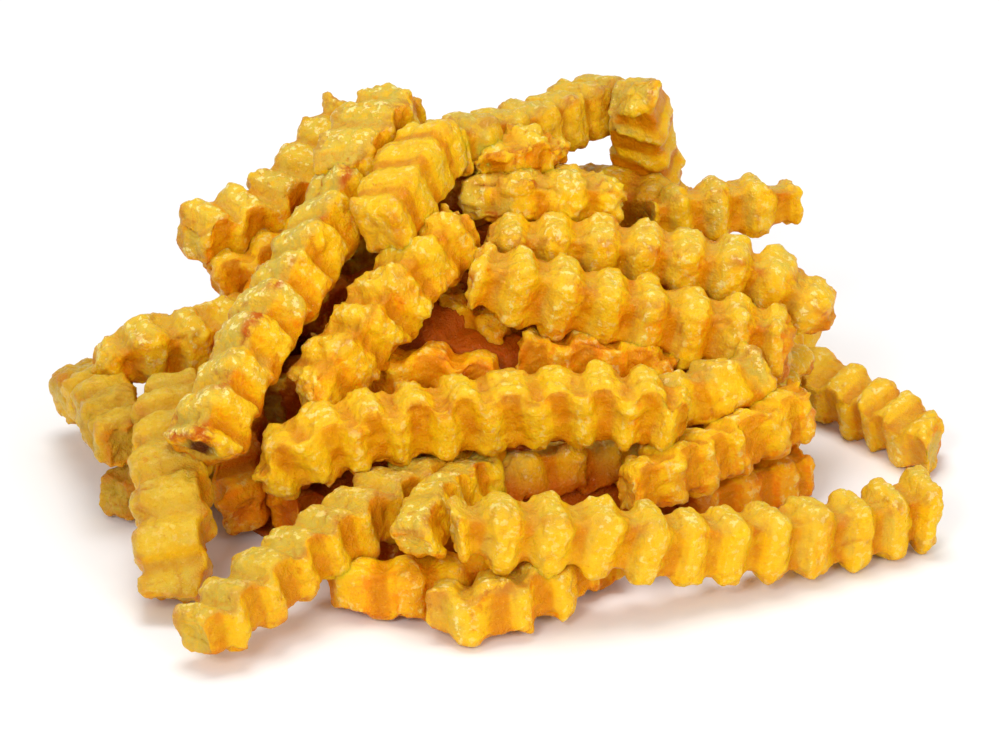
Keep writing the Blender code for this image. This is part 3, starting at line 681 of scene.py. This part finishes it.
def core_shape():
    """The mound: each place lies below the fries that pass over it."""
    routes = np.concatenate([smooth_route(fry.route) for fry in FRIES])
    share = (np.arange(1, CORE_RINGS + 1) / CORE_RINGS)[:, None]
    angle = (2 * np.pi * np.arange(CORE_SECTORS) / CORE_SECTORS)[None]
    x = CORE_CENTRE[0] + CORE_HALF_SIZE[0] * share * np.cos(angle)
    y = CORE_CENTRE[1] + CORE_HALF_SIZE[1] * share * np.sin(angle)
    away = np.hypot(x[..., None] - routes[:, 0], y[..., None] - routes[:, 1])
    highest = np.max(np.where(away < CORE_REACH, routes[:, 2], 0.0), axis=-1)
    cone = CORE_HEIGHT * (1 - share) - CORE_SUNK
    z = np.clip(np.minimum(cone, highest - CORE_DEPTH), 0.0, None)
    grid = np.stack([x, y, z], axis=-1)
    grid[..., 2] += layered(grid, *CORE_LUMPS)
    grid[..., 2] = np.maximum(grid[..., 2], CORE_THINNEST)
    underside = grid[-1:] * (1, 1, 0)
    grid = np.concatenate([grid, underside])
    return closed_shape(grid, {key: np.full(grid.shape[:2], value) for key, value in CORE_SHADE_MARKS.items()})


class Nodes:
    """Short ways to add nodes to a material."""

    def __init__(self, tree):
        self.tree = tree

    def put(self, target, value):
        """Links a socket to a socket, or sets it."""
        if isinstance(value, bpy.types.NodeSocket):
            self.tree.links.new(value, target)
        else:
            target.default_value = value

    def mark(self, name):
        """One of the marks that the mesh's points carry."""
        node = self.tree.nodes.new("ShaderNodeAttribute")
        node.attribute_name = name
        return node.outputs["Fac"]

    def noise(self, lump, detail=2.0, roughness=0.5):
        """Noise whose lumps are about this many millimetres apart."""
        node = self.tree.nodes.new("ShaderNodeTexNoise")
        place = self.tree.nodes.new("ShaderNodeTexCoord")
        self.tree.links.new(place.outputs["Object"], node.inputs["Vector"])
        node.inputs["Scale"].default_value = 1 / (lump * MM)
        node.inputs["Detail"].default_value = detail
        node.inputs["Roughness"].default_value = roughness
        return node.outputs["Fac"]

    def maths(self, operation, a, b):
        """The two values added, multiplied or otherwise put together."""
        node = self.tree.nodes.new("ShaderNodeMath")
        node.operation = operation
        self.put(node.inputs[0], a)
        self.put(node.inputs[1], b)
        return node.outputs[0]

    def fitted(self, value, low, high, to_low=0.0, to_high=1.0):
        """Maps low..high to to_low..to_high smoothly."""
        node = self.tree.nodes.new("ShaderNodeMapRange")
        node.interpolation_type = "SMOOTHSTEP"
        for key, number in (("Value", value), ("From Min", low), ("From Max", high)):
            self.put(node.inputs[key], number)
        self.put(node.inputs["To Min"], to_low)
        self.put(node.inputs["To Max"], to_high)
        return node.outputs["Result"]

    def mixed(self, share, a, b):
        """Goes from colour a to colour b as share goes from 0 to 1."""
        node = self.tree.nodes.new("ShaderNodeMix")
        node.data_type = "RGBA"
        self.put(node.inputs["Factor"], share)
        self.put(node.inputs[6], a)
        self.put(node.inputs[7], b)
        return node.outputs[2]


# Fried potato, from pale to burnt, among them colours for painted highlights on the crests and for painted
# shade in the creases, on turned-away sides and deep inside
# This pale is for chips on the crests, partly painted highlights
PALE_AND_HIGHLIGHT = (1.00, 0.82, 0.30, 1.0)
# This cream is partly the own colour of the crests and flecks, partly a painted highlight on the crests
CREAM_AND_HIGHLIGHT = (1.00, 0.66, 0.03, 1.0)
GOLD = (0.93, 0.52, 0.004, 1.0)
# This straw is for the cut ends, and as a painted sheen for the faces that look up
STRAW = (0.66, 0.46, 0.06, 1.0)
ORANGE = (0.92, 0.28, 0.001, 1.0)
# This deeper orange is painted shade, for the creases of the waves
CREASE_SHADE = (0.72, 0.25, 0.001, 1.0)
TAN = (0.46, 0.24, 0.010, 1.0)
# This red-brown is painted shade, for the sides turned from the lamps, the fries deep inside, the surface
# under other fries and the core
SHADE_RED_BROWN = (0.48, 0.07, 0.001, 1.0)
BROWN = (0.55, 0.11, 0.002, 1.0)
CHAR = (0.10, 0.02, 0.004, 1.0)

# A thin, broken film of oil over flesh that lets some light in, most of it red
SKIN_SHADER = {
    "Specular IOR Level": 0.1,
    "Specular Tint": (1.0, 0.65, 0.12, 1.0),
    "Coat Weight": 0.25,
    "Coat Roughness": 0.1,
    "Subsurface Weight": 0.5,
    "Subsurface Radius": (1.0, 0.4, 0.05),
    "Subsurface Scale": 2.2 * MM,
}
BUMP_HEIGHT = 0.7


def skin_colour(n, mottle, grain):
    """Golden, with a deeper orange painted shade in the valleys, cream on the ridges that is partly a
    painted highlight, straw on the cut ends and as a painted sheen on faces that look up, red-brown painted
    shade deep under other fries, and brown at the edges.
    """
    names = ("ridge", "pale", "brown", "orange", "dull", "shade", "burnt")
    ridge, pale, brown, orange, dull, shade, burnt = (n.mark(name) for name in names)
    patches = n.noise(5.0)

    # Gold and orange over the whole skin, and red-brown where it is most orange; that red-brown, like the
    # orange on the sides turned from the lamps and on the fries deep inside, is painted shade
    speckle = n.fitted(mottle, 0.35, 0.65, -0.25, 0.25)
    uneven = n.maths("ADD", speckle, n.fitted(patches, 0.35, 0.65, -0.15, 0.15))
    warm = n.maths("ADD", orange, uneven)
    warm = n.maths("ADD", warm, n.fitted(grain, 0.35, 0.65, -0.2, 0.2))
    colour = n.mixed(n.fitted(warm, 0.0, 1.1), GOLD, ORANGE)
    colour = n.mixed(n.fitted(orange, 0.9, MOST_ORANGE, 0.0, 0.9), colour, SHADE_RED_BROWN)

    # Painted shade, a deeper orange, in the valleys; cream on the crests, partly a painted highlight; and
    # straw on the cut ends and, as a painted sheen, on the faces that look up
    crease_shade = n.maths("MULTIPLY", n.fitted(ridge, 0.36, 0.0), n.fitted(patches, 0.35, 0.6, 0.55, 1.0))
    colour = n.mixed(crease_shade, colour, CREASE_SHADE)
    crest = n.maths("MULTIPLY", n.fitted(ridge, 0.62, 0.86), n.fitted(pale, -0.4, 0.8, 0.2, 0.9))
    colour = n.mixed(n.maths("MULTIPLY", crest, n.fitted(mottle, 0.42, 0.53)), colour, CREAM_AND_HIGHLIGHT)
    colour = n.mixed(n.maths("MULTIPLY", pale, n.fitted(mottle, 0.38, 0.55, 0.5, 1.0)), colour, STRAW)

    # Pale chips on the crests, partly painted highlights, fewer where the skin is dull, and small flecks
    # all over
    chips = n.fitted(n.noise(1.4, 3.0, 0.6), 0.55, 0.61)
    chips = n.maths("MULTIPLY", chips, n.fitted(dull, 0.0, 0.4, 1.0, 0.3))
    colour = n.mixed(n.maths("MULTIPLY", crest, chips), colour, PALE_AND_HIGHLIGHT)
    flecks = n.maths("MULTIPLY", n.fitted(grain, 0.56, 0.68), 0.25)
    colour = n.mixed(flecks, colour, CREAM_AND_HIGHLIGHT)

    # Tan where it is dull, a red-brown painted shade deep under other fries, brown at the edges and in
    # spots, and burnt at one tip
    colour = n.mixed(n.maths("MULTIPLY", dull, n.fitted(mottle, 0.3, 0.6, 1.0, 0.55)), colour, TAN)
    colour = n.mixed(n.maths("MULTIPLY", shade, 0.85), colour, SHADE_RED_BROWN)
    spots = n.maths("MULTIPLY", n.fitted(n.noise(2.6, 3.0, 0.6), 0.64, 0.74), 0.4)
    edges = n.maths("MULTIPLY", brown, n.fitted(mottle, 0.35, 0.55))
    colour = n.mixed(n.maths("MAXIMUM", edges, spots), colour, BROWN)
    # Char at one fry's tip, where it is burnt, and a little on the core, where it is painted shade
    return n.mixed(burnt, colour, CHAR)


def fry_material():
    """The skin of every fry and of the core, with a fine crust that glints."""
    material = bpy.data.materials.new("fried_potato_skin")
    material.use_nodes = True
    n = Nodes(material.node_tree)
    shader = material.node_tree.nodes["Principled BSDF"]
    mottle = n.noise(1.8, 4.0, 0.65)
    grain = n.noise(0.6, 3.0, 0.65)
    n.put(shader.inputs["Base Color"], skin_colour(n, mottle, grain))
    n.put(shader.inputs["Roughness"], n.fitted(grain, 0.3, 0.7, 0.24, 0.48))
    for name, value in SKIN_SHADER.items():
        shader.inputs[name].default_value = value
    bump = material.node_tree.nodes.new("ShaderNodeBump")
    bump.inputs["Distance"].default_value = BUMP_HEIGHT * MM
    bump.inputs["Strength"].default_value = 1.0
    n.put(bump.inputs["Height"], n.maths("ADD", mottle, n.maths("MULTIPLY", grain, 0.6)))
    n.put(shader.inputs["Normal"], bump.outputs["Normal"])
    n.put(shader.inputs["Coat Normal"], bump.outputs["Normal"])
    return material


# Which fries are in which piece, by how their names begin
PIECES = {
    "fries_in_front": ("runner", "foot", "stub", "middle", "right_upper", "right_under", "right_tip"),
    "fries_across": ("across", "gap"),
    "fries_on_top": ("top", "left_top", "left_crown", "left_diagonal", "left_blunt", "left_broad"),
    "fries_on_left": ("outer", "left_foot", "left_shoulder", "left_under", "inner"),
    "fries_inside": ("left_base", "left_second", "left_third", "left_slope", "right_inner", "right_behind"),
    "fries_far_side": ("far",),
}

# The pieces that hardly show from the photo's side, and the rings of their fries
COARSE_PIECES = ("fries_inside", "fries_far_side")
COARSE_STEP = 0.8
COARSE_AROUND = 52


def dress(piece):
    """Hangs the piece on the root and hides the part that it stands for."""
    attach(piece, "root")
    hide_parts("fries_heap")


def make_heap(material):
    """Every fry, in the piece that it belongs to, and the core under them all."""
    for name, starts in PIECES.items():
        coarse = name in COARSE_PIECES
        step = COARSE_STEP if coarse else RING_STEP
        around = COARSE_AROUND if coarse else POINTS_AROUND
        shapes = []
        for index, fry in enumerate(FRIES):
            if fry.name.startswith(starts):
                finish = FINISHES.get(fry.name, Finish())
                shapes.append(closed_shape(*make_fry(fry, index, finish, step, around)))
        dress(mesh_piece(name, shapes, material))
    dress(mesh_piece("heap_core", [core_shape()], material))


# The floor's size in metres and its finish
FLOOR_SIZE = 6.0
FLOOR_COLOUR = (0.98, 0.98, 0.98, 1.0)
FLOOR_ROUGHNESS = 0.8


def floor_material():
    material = bpy.data.materials.new("pale_floor")
    material.use_nodes = True
    shader = material.node_tree.nodes["Principled BSDF"]
    shader.inputs["Base Color"].default_value = FLOOR_COLOUR
    shader.inputs["Roughness"].default_value = FLOOR_ROUGHNESS
    return material


def make_floor():
    half = FLOOR_SIZE / 2
    mesh = bpy.data.meshes.new("floor")
    corners = [(-half, -half, 0), (half, -half, 0), (half, half, 0), (-half, half, 0)]
    mesh.from_pydata(corners, [], [(0, 1, 2, 3)])
    mesh.materials.append(floor_material())
    floor = bpy.data.objects.new("floor", mesh)
    bpy.context.scene.collection.objects.link(floor)


# The camera looks down on the heap from the photo's side: metres, degrees and a lens in millimetres
CAMERA_DISTANCE = 1.1
CAMERA_ELEVATION = 24.0
CAMERA_TARGET = (0.0002, -0.0026, 0.026)
CAMERA_LENS = 198.0
CAMERA_NEAREST = 0.05


def pointed_at(thing, place, target):
    """Puts a light or a camera at a place, looking at the target."""
    thing.location = place
    thing.rotation_euler = (Vector(target) - Vector(place)).to_track_quat("-Z", "Y").to_euler()


def make_camera():
    data = bpy.data.cameras.new("camera")
    data.lens = CAMERA_LENS
    data.clip_start = CAMERA_NEAREST
    camera = bpy.data.objects.new("camera", data)
    bpy.context.scene.collection.objects.link(camera)
    elevation = math.radians(CAMERA_ELEVATION)
    target = Vector(CAMERA_TARGET)
    place = target + CAMERA_DISTANCE * Vector((0, -math.cos(elevation), math.sin(elevation)))
    pointed_at(camera, place, target)
    bpy.context.scene.camera = camera


# Each light's place in metres, size in metres and power in watts, and what they all point at
LIGHTS = {
    "front_left": ((-0.50, -1.50, 1.00), 0.5, 11.4),
    "front_right": ((0.95, -1.45, 0.85), 0.65, 9.1),
    "above": ((-0.10, 0.10, 1.20), 0.6, 6.5),
}
LIGHT_TARGET = (0, 0, 0.03)
SKY_COLOUR = (1.0, 1.0, 1.0, 1.0)
SKY_STRENGTH = 0.5


def make_lights():
    for name, (place, size, power) in LIGHTS.items():
        data = bpy.data.lights.new(name, "AREA")
        data.size = size
        data.energy = power
        light = bpy.data.objects.new(name, data)
        bpy.context.scene.collection.objects.link(light)
        pointed_at(light, place, LIGHT_TARGET)
    world = bpy.data.worlds.new("sky")
    world.use_nodes = True
    background = world.node_tree.nodes["Background"]
    background.inputs["Color"].default_value = SKY_COLOUR
    background.inputs["Strength"].default_value = SKY_STRENGTH
    bpy.context.scene.world = world
    bpy.context.scene.view_settings.view_transform = "Standard"


make_camera()
make_floor()
make_lights()
make_heap(fry_material())
